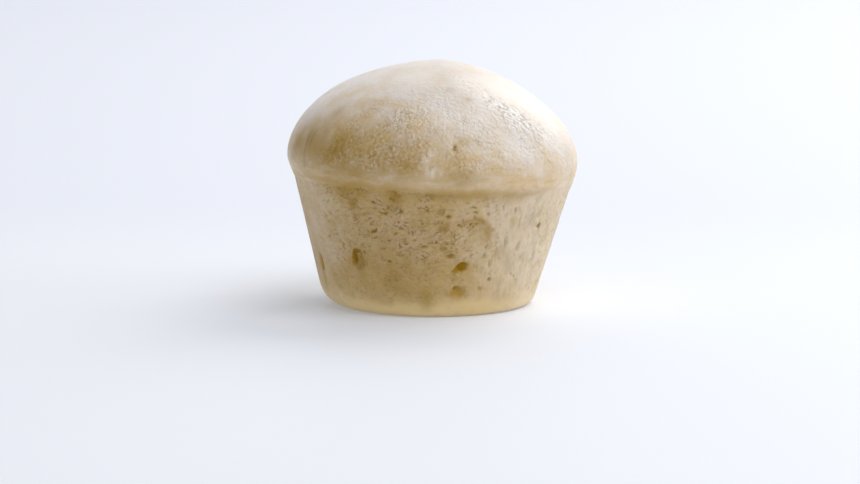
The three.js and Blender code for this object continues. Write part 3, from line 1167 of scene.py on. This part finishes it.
@dataclass
class Bun:
    """The bun's surface: the smooth form on a grid, with its relief and its masks."""

    form: BunForm = field(default_factory=BunForm)
    rings: Rings = field(default_factory=Rings)
    layers: tuple = (
        Bands(),
        Crowding(),
        Warmth(),
        Pebbling(),
        DullnessAndShade(),
        SoftEdge(),
        Crumb(),
        OpenCells(),
        DomeSkin(),
    )
    columns: int = 560
    crowding: float = 0.2
    samples: int = 2000
    relief_start: Span = (0.0, 1.5)

    def directions(self) -> Array:
        """The columns' angles about Z in one row, closer at the front: even - c sin(even)."""
        even = np.linspace(0.0, 2.0 * np.pi, self.columns, endpoint=False)
        return np.degrees(even - self.crowding * np.sin(even))[None, :]

    def dome_turns(self) -> Array:
        """Angles of the dome's quarter turn that cut its mean section into equal lengths.

        Returns:
            The angles in radians, one to a row.
        """
        form = self.form
        turn = np.linspace(0.0, np.pi / 2.0, self.samples)
        power = 2.0 / form.dome_power.mean
        rise = form.crown_height - form.lip_height.mean
        across = form.lip_radius * np.cos(turn) ** power
        up = rise * np.sin(turn) ** power
        length = np.concatenate([[0.0], np.cumsum(np.hypot(np.diff(across), np.diff(up)))])
        return np.interp(length[-1] * steps(self.rings.dome)[:-1], length, turn)

    def sections(self, direction: Array) -> tuple[Array, Array]:
        """Radius and height of every ring in every direction, from the base to the crown.

        Args:
            direction: The columns' directions in degrees, in one row.

        Returns:
            Radii and heights in millimetres, one row for each ring.
        """
        form, rings = self.form, self.rings
        radius, height = form.corner_arc(direction, steps(rings.corner - 1))
        share = steps(rings.base)[1:-1]
        radii = [share * radius[:1], radius]
        heights = [share * 0.0 * radius[:1], height]
        crease = form.crease_height.at(direction)
        lip = form.lip_height.at(direction)
        power = 2.0 / form.dome_power.at(direction)
        step = crease - form.crease_band
        upper = [
            lerp(height[-1:], step, steps(rings.side)[1:]),
            lerp(step, crease, steps(rings.crease)[1:-1]),
            lerp(crease, lip, steps(rings.lip)[:-1]),
            lerp(lip, form.crown_height, np.sin(self.dome_turns()) ** power),
        ]
        for height in upper:
            radii.append(form.skin_radius(direction, height))
            heights.append(height)
        return np.concatenate(radii), np.concatenate(heights)

    @staticmethod
    def outward(points: Array) -> Array:
        """Unit normals of a closed grid, from the differences along rings and columns.

        Args:
            points: The grid, rings by columns by x, y and z.

        Returns:
            The normals, in the same shape.
        """
        around = np.roll(points, -1, axis=1) - np.roll(points, 1, axis=1)
        upward = np.gradient(points, axis=0)
        normal = np.cross(around, upward)
        return normal / np.linalg.norm(normal, axis=-1, keepdims=True)

    def build(self) -> bpy.types.Object:
        """Makes the bun's mesh with its relief, and masks for its finish as attributes.

        Returns:
            The bun's object, smooth-shaded, at the origin.
        """
        direction = self.directions()
        radius, height = self.sections(direction)
        direction = np.broadcast_to(direction, radius.shape)
        points = self.form.place(direction, radius, height)
        grid = Grid(self.form, points, direction, height, np.zeros_like(height))
        for layer in self.layers:
            layer.press(grid)
        relief = grid.relief * smooth(height, *self.relief_start)
        points = points + self.outward(points) * relief[..., None]
        return self.mesh(points, grid.masks)

    def mesh(self, points: Array, masks: dict[str, Array]) -> bpy.types.Object:
        """Closes the grid at the base and the crown, fits it to the solid's box, and makes it.

        Args:
            points: The grid in millimetres, rings by columns by x, y and z.
            masks: Values for each grid point, by attribute name.

        Returns:
            The object.
        """
        rings, columns = points.shape[:2]
        base = np.array([[self.form.lean(np.array(0.0)), 0.0, 0.0]])
        crown = points[-1].mean(axis=0, keepdims=True)
        crown[0, 2] = self.form.crown_height
        flat = self.fitted(np.concatenate([points.reshape(-1, 3), base, crown]))

        here = np.arange(columns)
        after = np.roll(here, -1)
        ring = np.arange(rings - 1)[:, None] * columns
        above = ring + columns
        quads = np.stack([ring + here, ring + after, above + after, above + here], axis=-1)
        bottom = np.full(columns, rings * columns)
        last = (rings - 1) * columns
        fans = [
            np.stack([bottom, after, here], axis=-1),
            np.stack([bottom + 1, last + here, last + after], axis=-1),
        ]
        faces = [*quads.reshape(-1, 4).tolist(), *np.concatenate(fans).tolist()]
        mesh = bpy.data.meshes.new("bun_surface")
        mesh.from_pydata(flat.tolist(), [], faces)
        mesh.shade_smooth()
        for name, values in masks.items():
            layer = mesh.attributes.new(name, "FLOAT", "POINT")
            ends = [values[0].mean(), values[-1].mean()]
            values = np.concatenate([values.ravel(), ends]).astype(np.float32)
            layer.data.foreach_set("value", values)
        made = bpy.data.objects.new("bun_surface", mesh)
        bpy.context.scene.collection.objects.link(made)
        return made

    @staticmethod
    def fitted(flat: Array) -> Array:
        """Stretches points evenly along each axis to fill the solid's own box.

        Args:
            flat: The points in millimetres, one to a row.

        Returns:
            The points in metres.
        """
        low, high = (np.array(corner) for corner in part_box(NODE))
        least, most = flat.min(axis=0), flat.max(axis=0)
        return low + (flat - least) / (most - least) * (high - low)


# ------------------------------------------------------------------------------ shaders

# The value that noise swings about.
MIDDLE = 0.5


class Value:
    """A shader socket that takes part in sums: each operator adds one Math node."""

    def __init__(self, tree: "Tree", socket: bpy.types.NodeSocket) -> None:
        """Keeps the tree and the socket."""
        self.tree = tree
        self.socket = socket

    def maths(self, operation: str, *others: "Value | float") -> "Value":
        """One Math node with this value first."""
        inputs = dict(enumerate((self, *others)))
        return self.tree.add("ShaderNodeMath", {"operation": operation}, inputs)

    def __add__(self, other: "Value | float") -> "Value":
        """The sum."""
        return self.maths("ADD", other)

    def __radd__(self, other: float) -> "Value":
        """The sum, reflected."""
        return self.maths("ADD", other)

    def __sub__(self, other: "Value | float") -> "Value":
        """The difference."""
        return self.maths("SUBTRACT", other)

    def __rsub__(self, other: float) -> "Value":
        """The difference, reflected."""
        return (self * -1.0) + other

    def __mul__(self, other: "Value | float") -> "Value":
        """The product."""
        return self.maths("MULTIPLY", other)

    def __rmul__(self, other: float) -> "Value":
        """The product, reflected."""
        return self.maths("MULTIPLY", other)

    def highest(self, other: "Value | float") -> "Value":
        """The larger of the two."""
        return self.maths("MAXIMUM", other)

    def off_middle(self) -> "Value":
        """How far noise is from its middle, to either side."""
        return (self - MIDDLE).maths("ABSOLUTE")

    def smooth(self, start: float, end: float) -> "Value":
        """0 at start and 1 at end, smoothly between, also where end is below start.

        Args:
            start: Where it leaves 0.
            end: Where it reaches 1.

        Returns:
            The step, 1 less the rising one where end is below start.
        """
        span = {"Value": self, "From Min": min(start, end), "From Max": max(start, end)}
        settings = {"interpolation_type": "SMOOTHSTEP"}
        rising = self.tree.add("ShaderNodeMapRange", settings, span)
        return rising if start < end else 1.0 - rising


@dataclass(frozen=True)
class Noise:
    """Noise: its waves' width in metres, finer layers, their strength, and a step or none."""

    size: float
    detail: float
    rough: float = 0.55
    step: Span | None = None


class Tree:
    """A material's node tree, with one method that adds any node."""

    def __init__(self, name: str) -> None:
        """Starts a new material and clears its nodes.

        Args:
            name: The material's name.
        """
        self.material = bpy.data.materials.new(name)
        self.material.use_nodes = True
        self.nodes = self.material.node_tree.nodes
        self.links = self.material.node_tree.links
        self.nodes.clear()

    def add(self, kind: str, settings: dict, inputs: dict, output: str | int = 0) -> Value:
        """Adds a node: its settings first, then the values or links of its sockets.

        Args:
            kind: The node's type.
            settings: Attributes of the node, such as a Math node's operation.
            inputs: Values or links by the socket's name or number.
            output: Which output to hand back.

        Returns:
            The output as a value.
        """
        node = self.nodes.new(kind)
        for name, setting in settings.items():
            setattr(node, name, setting)
        for key, given in inputs.items():
            if isinstance(given, Value):
                self.links.new(given.socket, node.inputs[key])
            else:
                node.inputs[key].default_value = given
        return Value(self, node.outputs[output])

    def finish(self, inputs: dict) -> bpy.types.Material:
        """Adds the principled shader and links it to an output node.

        Args:
            inputs: The shader's values or links, by socket.

        Returns:
            The material.
        """
        shader = self.add("ShaderNodeBsdfPrincipled", {}, inputs)
        output = self.nodes.new("ShaderNodeOutputMaterial")
        self.links.new(shader.socket, output.inputs["Surface"])
        return self.material

    def mask(self, name: str) -> Value:
        """A mask stored on the mesh's points."""
        return self.add("ShaderNodeAttribute", {"attribute_name": name}, {}, "Fac")

    def place(self) -> Value:
        """The point's place in the object, in metres."""
        return self.add("ShaderNodeTexCoord", {}, {}, "Object")

    def stretched(self, height: float) -> Value:
        """The point's place with its height multiplied, which flattens or draws out noise."""
        scale = {0: self.place(), 1: (1.0, 1.0, height)}
        return self.add("ShaderNodeVectorMath", {"operation": "MULTIPLY"}, scale)

    def noise(self, noise: Noise, place: Value | None = None) -> Value:
        """Noise on the surface, through its smooth step if it has one.

        Args:
            noise: The noise.
            place: Where to read it, if not at the point's own place.

        Returns:
            Values from 0 to 1, mostly near the middle where there is no step.
        """
        inputs = {
            "Vector": place or self.place(),
            "Scale": 1.0 / noise.size,
            "Detail": noise.detail,
            "Roughness": noise.rough,
        }
        made = self.add("ShaderNodeTexNoise", {}, inputs)
        return made.smooth(*noise.step) if noise.step else made

    def blend(self, share: "Value | float", low: "Value | tuple", high: "Value | tuple") -> Value:
        """A colour a share of the way from low to high."""
        inputs = {0: share, 6: low, 7: high}
        return self.add("ShaderNodeMix", {"data_type": "RGBA"}, inputs, 2)

    def layered(self, tone: Value, *layers: "tuple[Value, Value | tuple]") -> Value:
        """A colour with others laid over it in order, each by its share.

        Args:
            tone: The colour underneath.
            layers: Pairs of a share and the colour that it lays over those before it.

        Returns:
            The colour on top.
        """
        for share, over in layers:
            tone = self.blend(share, tone, over)
        return tone


def colour(red: float, green: float, blue: float) -> tuple[float, float, float, float]:
    """An opaque colour from linear values."""
    return (red, green, blue, 1.0)


@dataclass(frozen=True)
class SteamedDough:
    """The bun's finish: satin skin on the dome, and moist, open, translucent crumb.

    Its methods share one namespace, called part, which holds the tree, the bun's masks and
    the patterns made so far. In them, a pair of numbers is where a pattern's smooth step
    starts and ends, and a single number is how strongly the pattern shows.
    """

    cream: tuple = colour(0.87, 0.795, 0.72)
    tan: tuple = colour(0.73, 0.54, 0.295)
    crumb_cream: tuple = colour(0.79, 0.655, 0.48)
    crumb_tan: tuple = colour(0.575, 0.39, 0.16)
    # The foot's yellow, painted lighter as bounce light from below and warmer as glow through the
    # dough.
    band: tuple = colour(0.84, 0.655, 0.335)
    amber: tuple = colour(0.41, 0.245, 0.035)
    # Inside cells: painted amber light, and umber, which is also painted shade and the rims' dark.
    lit_ochre: tuple = colour(0.60, 0.34, 0.01)
    umber_and_shade: tuple = colour(0.33, 0.195, 0.003)
    # A pale colour for painted highlights on pebble tops, cell walls, specks and raised folds, and the
    # lip's pale streaks.
    light: tuple = colour(0.90, 0.84, 0.75)
    shadow: tuple = colour(0.54, 0.48, 0.42)
    bistre: tuple = colour(0.28, 0.16, 0.012)
    olive: tuple = colour(0.60, 0.49, 0.22)
    sage: tuple = colour(0.44, 0.38, 0.24)
    rosy: tuple = colour(0.84, 0.73, 0.64)
    rosy_crumb: tuple = colour(0.66, 0.49, 0.355)
    glint_white: tuple = colour(0.89, 0.875, 0.87)
    blotch: Noise = Noise(0.0030, 3.0)
    mark: Noise = Noise(0.0016, 1.5)
    cluster: Noise = Noise(0.0036, 2.0, step=(0.42, 0.62))
    pebble: Noise = Noise(0.0010, 1.6, 0.6)
    grit: Noise = Noise(0.00075, 1.0, 0.6)
    mottle: Noise = Noise(0.006, 4.0, 0.6, (0.35, 0.65))
    patch: Noise = Noise(0.005, 3.0, step=(0.38, 0.6))
    streak: Noise = Noise(0.0040, 3.0)
    hue: Noise = Noise(0.0042, 3.0, 0.6)
    crack_gap: Noise = Noise(0.0012, 1.0, step=(0.5, 0.57))
    dot: Noise = Noise(0.0012, 1.0)
    wrinkle: Noise = Noise(0.0016, 2.0)
    wrinkle_gap: Noise = Noise(0.0013, 1.0, step=(0.45, 0.55))
    nick: Noise = Noise(0.0011, 1.0, step=(0.45, 0.39))
    flattened: float = 1.45
    drawn_out: float = 0.3
    streak_flattened: float = 4.0
    nick_slant: float = 0.47
    nick_shape: tuple[float, float, float] = (1.4, 1.0, 0.46)
    bump_depth: float = 0.0006
    refraction: float = 1.42
    specular: float = 0.32
    glow_share: float = 0.34
    glow_reach: float = 0.0012
    glow_tint: tuple[float, float, float] = (1.0, 0.6, 0.32)
    coat: float = 0.3
    coat_rough: float = 0.28

    def grain(self, part: SimpleNamespace, noise: Noise) -> Value:
        """Noise that is flattened, and drawn out upwards where the mask drawn is 1.

        Args:
            part: The tree, the masks and the patterns.
            noise: The noise.

        Returns:
            The noise.
        """
        flat = part.tree.noise(noise, part.tree.stretched(self.flattened))
        tall = part.tree.noise(noise, part.tree.stretched(self.drawn_out))
        return flat + (tall - flat) * part.drawn

    def add_noise(self, part: SimpleNamespace) -> None:
        """Adds the plain noise of the crumb and the skin, and how tan the dough is.

        Args:
            part: The tree, the masks and the patterns.
        """
        tree = part.tree
        part.blotches = self.grain(part, self.blotch)
        part.fine = self.grain(part, self.mark)
        part.pebbles = tree.noise(self.pebble)
        part.grits = tree.noise(self.grit)
        part.streaks = tree.noise(self.streak, tree.stretched(self.streak_flattened))
        part.hues = tree.noise(self.hue)
        part.rough_skin = part.pebbled * (0.42 + 0.5 * tree.noise(self.patch))
        mottle = tree.noise(self.mottle) - MIDDLE
        part.toned = part.warm + (0.3 + 0.2 * part.skin) * mottle

    def add_marks(self, part: SimpleNamespace) -> None:
        """Adds the crumb's stains, cracks and specks, and the skin's dents, tops and nicks.

        A crack lies where the fine noise is at its middle, and a wrinkle likewise.

        Args:
            part: The tree, the masks and the patterns.
        """
        tree = part.tree
        clusters = tree.noise(self.cluster)
        broken = clusters * tree.noise(self.crack_gap)
        dots = self.grain(part, self.dot).smooth(0.41, 0.31) * (0.3 + 0.7 * clusters)
        cracks = (part.fine.off_middle().smooth(0.1, 0.02) * broken * 0.6).highest(dots)
        cracks = cracks * part.crumb * (1.0 - part.foot)
        part.cracks = cracks * (1.0 - 0.6 * part.drawn) * (0.55 + 0.45 * part.open)
        part.stains = part.blotches.smooth(0.5, 0.36) * part.crumb
        part.specks = part.fine.smooth(0.6, 0.7) * part.crumb * part.open
        wrinkles = tree.noise(self.wrinkle).off_middle().smooth(0.04, 0.0)
        part.wrinkles = wrinkles * tree.noise(self.wrinkle_gap)
        dents = part.grits.smooth(0.46, 0.37).highest(part.wrinkles) * part.rough_skin
        part.dents = dents + 0.2 * part.crinkle * part.pebbled
        part.tops = part.grits.smooth(0.56, 0.65) * part.rough_skin
        slant = (0.0, self.nick_slant, 0.0)
        inputs = {"Vector": tree.place(), "Rotation": slant, "Scale": self.nick_shape}
        slanted = tree.add("ShaderNodeMapping", {"vector_type": "TEXTURE"}, inputs)
        part.nicks = tree.noise(self.nick, slanted) * part.nicked
        part.lines = part.streaks.smooth(0.54, 0.62) * part.lip * part.toned.smooth(0.3, 0.8)

    def dough(self, part: SimpleNamespace) -> Value:
        """The dough between its marks: crumb, foot with its painted bounce light, and skin, with
        drifts of other hues.

        Args:
            part: The tree, the masks and the patterns.

        Returns:
            The colour.
        """
        tree = part.tree
        crumb = tree.blend(part.toned, self.crumb_cream, self.crumb_tan)
        rosy = tree.blend(part.skin, self.rosy_crumb, self.rosy)
        return tree.layered(
            crumb,
            (part.foot, self.band),
            (part.skin, tree.blend(part.toned, self.cream, self.tan)),
            # Painted shade and duller tone, laid on in the shadow colour.
            (part.dull * 0.38, self.shadow),
            (part.hues.smooth(0.52, 0.66) * (0.12 + 0.28 * part.crumb), self.olive),
            (part.hues.smooth(0.48, 0.34) * (0.4 - 0.15 * part.crumb), rosy),
        )

    def tone(self, part: SimpleNamespace) -> Value:
        """The dough with its moist spots, marks, hollows, open cells, rims and pale folds, and painted
        shade in spots, dents, nicks and hollows, painted highlights and glints, and painted light and
        shade in cells.

        Args:
            part: The tree, the masks and the patterns.

        Returns:
            The colour.
        """
        tree = part.tree
        stains = part.stains * (0.15 - 0.1 * part.drawn)
        stains = stains + part.streaks.smooth(0.48, 0.38) * part.lip * 0.15
        dented = tree.blend(part.toned, self.shadow, self.amber)
        # Painted highlights: light specks, lit cell walls and pebble tops, less where moist.
        lit = part.specks * 0.1 + part.wall * 0.1 + part.tops * (0.5 - 0.4 * part.moist)
        # Painted light and shade inside the cells: lit ochre at the lower left, umber shade at the
        # upper right.
        deep = tree.blend(part.shade, self.lit_ochre, self.umber_and_shade)
        deep = tree.blend(part.drawn.smooth(0.4, 0.9) * 0.6, deep, self.sage)
        return tree.layered(
            self.dough(part),
            # Moist amber and painted shade, stronger in the dents and weaker on the pebble tops.
            (part.moist * (1.0 - 0.55 * part.tops + 0.7 * part.dents), self.amber),
            (stains, self.amber),
            (part.stains * part.drawn * 0.35, self.sage),
            (part.cracks * 0.75, self.bistre),
            # Painted shade in the skin's dents.
            (part.dents * 0.4, dented),
            # Painted glints, white, round the nicks.
            (part.nicked * (0.3 + 0.5 * part.grits.smooth(0.5, 0.6)), self.glint_white),
            # Painted shade in the nicks.
            (part.nicks * 0.6, self.sage),
            # Painted highlights, and the lip's pale streaks.
            (lit + part.lines * 0.12, self.light),
            # Hollows darker amber: part tone, part painted shade.
            (part.hollow * 0.5, self.amber),
            # Cells darkened, part stain and part painted shade, with painted light and shade inside.
            (part.pit, deep),
            (part.rim * 0.7, self.amber),
            (part.rim.smooth(0.55, 1.0) * 0.6, self.umber_and_shade),
            (part.rim.smooth(0.9, 1.3) * 0.9, self.bistre),
            # Painted highlight on the raised folds.
            (part.pale * 0.8, self.light),
        )

    def roughness(self, part: SimpleNamespace) -> Value:
        """The roughness: the skin's, with more in the crumb and less in the moist and shaded spots."""
        rough = 0.42 + (0.16 + 0.2 * part.cracks) * part.crumb - 0.08 * part.moist
        return rough + 0.2 * (part.pebbles - MIDDLE)

    def normal(self, part: SimpleNamespace) -> Value:
        """The bumped normal: grooves in the crumb, pebbles and wrinkles on the skin.

        Args:
            part: The tree, the masks and the patterns.

        Returns:
            The normal.
        """
        pebbled = (part.pebbles - MIDDLE) * (0.04 + 2.7 * part.rough_skin)
        rippled = (pebbled - 0.1 * part.wrinkles * part.rough_skin) * part.skin
        grooves = (part.blotches - MIDDLE) * (1.1 + 0.5 * part.drawn)
        grooves = grooves + (part.fine - MIDDLE) * 1.1 - part.cracks * 0.7
        height = grooves * part.crumb + rippled
        height = height + (part.streaks - MIDDLE) * 0.5 * part.lip - part.nicks * 0.6
        inputs = {"Strength": 1.0, "Distance": self.bump_depth, "Height": height}
        return part.tree.add("ShaderNodeBump", {}, inputs)

    def build(self, masks: list[str]) -> bpy.types.Material:
        """Makes the material from the bun's masks and patterns on Object coordinates.

        Args:
            masks: Names of the masks on the bun's mesh.

        Returns:
            The material.
        """
        tree = Tree(SLOT)
        part = SimpleNamespace(tree=tree, **{name: tree.mask(name) for name in masks})
        self.add_noise(part)
        self.add_marks(part)
        inputs = {
            "Base Color": self.tone(part),
            "Roughness": self.roughness(part),
            "IOR": self.refraction,
            "Specular IOR Level": self.specular,
            "Subsurface Weight": self.glow_share,
            "Subsurface Radius": self.glow_tint,
            "Subsurface Scale": self.glow_reach,
            "Coat Weight": part.skin * self.coat,
            "Coat Roughness": self.coat_rough,
            "Normal": self.normal(part),
        }
        return tree.finish(inputs)


# ------------------------------------------------------------------------------- studio


class Side(Enum):
    """Where a light stands, as a direction in degrees from the front."""

    BACK = 180.0
    BACK_RIGHT = 135.0
    RIGHT = 80.0
    FRONT_RIGHT = 40.0
    FRONT_LEFT = -30.0


def arc_place(distance: float, direction: float, rise: float) -> tuple[float, float, float]:
    """A place at a distance from the origin, by its direction and rise in radians."""
    level = distance * math.cos(rise)
    return (level * math.sin(direction), -level * math.cos(direction), distance * math.sin(rise))


@dataclass(frozen=True)
class SoftLight:
    """A square soft light that faces the bun."""

    name: str
    side: Side
    elevation: float
    distance: float
    width: float
    power: float
    tint: tuple[float, float, float] = (1.0, 1.0, 1.0)

    def build(self) -> bpy.types.Object:
        """Hangs the light and turns it to the middle of the bun's base.

        Returns:
            The light's object.
        """
        data = bpy.data.lights.new(self.name, "AREA")
        data.size = self.width
        data.energy = self.power
        data.color = self.tint
        lamp = bpy.data.objects.new(self.name, data)
        turn, rise = math.radians(self.side.value), math.radians(self.elevation)
        lamp.location = arc_place(self.distance, turn, rise)
        lamp.rotation_euler = (math.pi / 2.0 - rise, 0.0, turn)
        bpy.context.scene.collection.objects.link(lamp)
        return lamp


@dataclass(frozen=True)
class Studio:
    """The pale floor, the even light and soft lights, and the camera's place."""

    floor_radius: float = 6.0
    floor_sides: int = 96
    floor_rough: float = 0.6
    near: tuple = colour(0.70, 0.72, 0.75)
    far: tuple = colour(0.66, 0.68, 0.73)
    glow: tuple = colour(0.16, 0.17, 0.20)
    edge: Span = (0.06, 0.18)
    sky: tuple = colour(0.93, 0.95, 1.0)
    sky_strength: float = 0.2
    lamps: tuple[SoftLight, ...] = (
        SoftLight("window", Side.BACK, 20.0, 1.8, 2.4, 14.0, (0.96, 0.98, 1.0)),
        SoftLight("key_light", Side.BACK_RIGHT, 38.0, 1.1, 0.9, 7.5, (1.0, 0.98, 0.96)),
        SoftLight("side_light", Side.RIGHT, 25.0, 1.2, 0.7, 2.4, (1.0, 0.98, 0.95)),
        SoftLight("top_light", Side.FRONT_RIGHT, 62.0, 1.2, 0.9, 6.2, (0.98, 0.98, 1.0)),
        SoftLight("front_light", Side.FRONT_LEFT, 4.0, 1.2, 0.8, 2.6),
    )
    image_width: int = 860
    image_height: int = 484
    focal_pixels: float = 5600.0
    sensor: float = 36.0
    clip: Span = (0.05, 20.0)
    distance: float = 1.4
    elevation: float = 9.1
    base_column: float = 432.35
    base_row: float = 301.5

    def floor(self) -> bpy.types.Object:
        """A round floor whose colour fades a little towards the back.

        Returns:
            The floor's object.
        """
        turn = np.linspace(0.0, 2.0 * np.pi, self.floor_sides, endpoint=False)
        rim = self.floor_radius * np.stack([np.cos(turn), np.sin(turn), 0.0 * turn], axis=-1)
        mesh = bpy.data.meshes.new("floor")
        mesh.from_pydata(rim.tolist(), [], [list(range(self.floor_sides))])
        tree = Tree("pale_floor")
        back = tree.add("ShaderNodeSeparateXYZ", {}, {"Vector": tree.place()}, "Y")
        inputs = {
            "Base Color": tree.blend(back.smooth(*self.edge), self.near, self.far),
            "Roughness": self.floor_rough,
            "Emission Color": self.glow,
            "Emission Strength": 1.0,
        }
        mesh.materials.append(tree.finish(inputs))
        made = bpy.data.objects.new("floor", mesh)
        bpy.context.scene.collection.objects.link(made)
        return made

    def lights(self) -> list[bpy.types.Object]:
        """Even pale light from all round, and the soft lights.

        Returns:
            The soft lights' objects.
        """
        world = bpy.data.worlds.new("studio")
        world.use_nodes = True
        background = world.node_tree.nodes["Background"]
        background.inputs["Color"].default_value = self.sky
        background.inputs["Strength"].default_value = self.sky_strength
        bpy.context.scene.world = world
        return [lamp.build() for lamp in self.lamps]

    def camera(self) -> bpy.types.Object:
        """The camera, a long way off, placed so that the bun's base lies at its pixel.

        Returns:
            The camera's object.
        """
        data = bpy.data.cameras.new("camera")
        data.sensor_width = self.sensor
        data.lens = self.focal_pixels / self.image_width * self.sensor
        data.clip_start, data.clip_end = self.clip
        camera = bpy.data.objects.new("camera", data)
        rise = math.radians(self.elevation)
        camera.location = arc_place(self.distance, 0.0, rise)
        pixel = self.distance / self.focal_pixels
        camera.location.x = (self.image_width / 2.0 - self.base_column) * pixel
        below = math.atan((self.base_row - self.image_height / 2.0) / self.focal_pixels)
        camera.rotation_euler = (math.pi / 2.0 - (rise - below), 0.0, 0.0)
        bpy.context.scene.collection.objects.link(camera)
        bpy.context.scene.camera = camera
        return camera


# --------------------------------------------------------------------------------- main


def main() -> None:
    """Builds the bun, the floor, the lights and the camera, and reports each."""
    logging.basicConfig(level=logging.INFO, format="%(name)s: %(message)s")
    scene = bpy.context.scene
    scene.view_settings.view_transform = "Standard"
    bun = Bun().build()
    masks = [layer.name for layer in bun.data.attributes if layer.data_type == "FLOAT"]
    bun.data.materials.append(SteamedDough().build(masks))
    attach(bun, "root")
    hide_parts(NODE)
    log.info("%s: %d faces", bun.name, len(bun.data.polygons))
    studio = Studio()
    log.info("%s laid", studio.floor().name)
    log.info("%d lights hung", len(studio.lights()))
    log.info("%s placed", studio.camera().name)


if __name__ == "__main__":
    main()
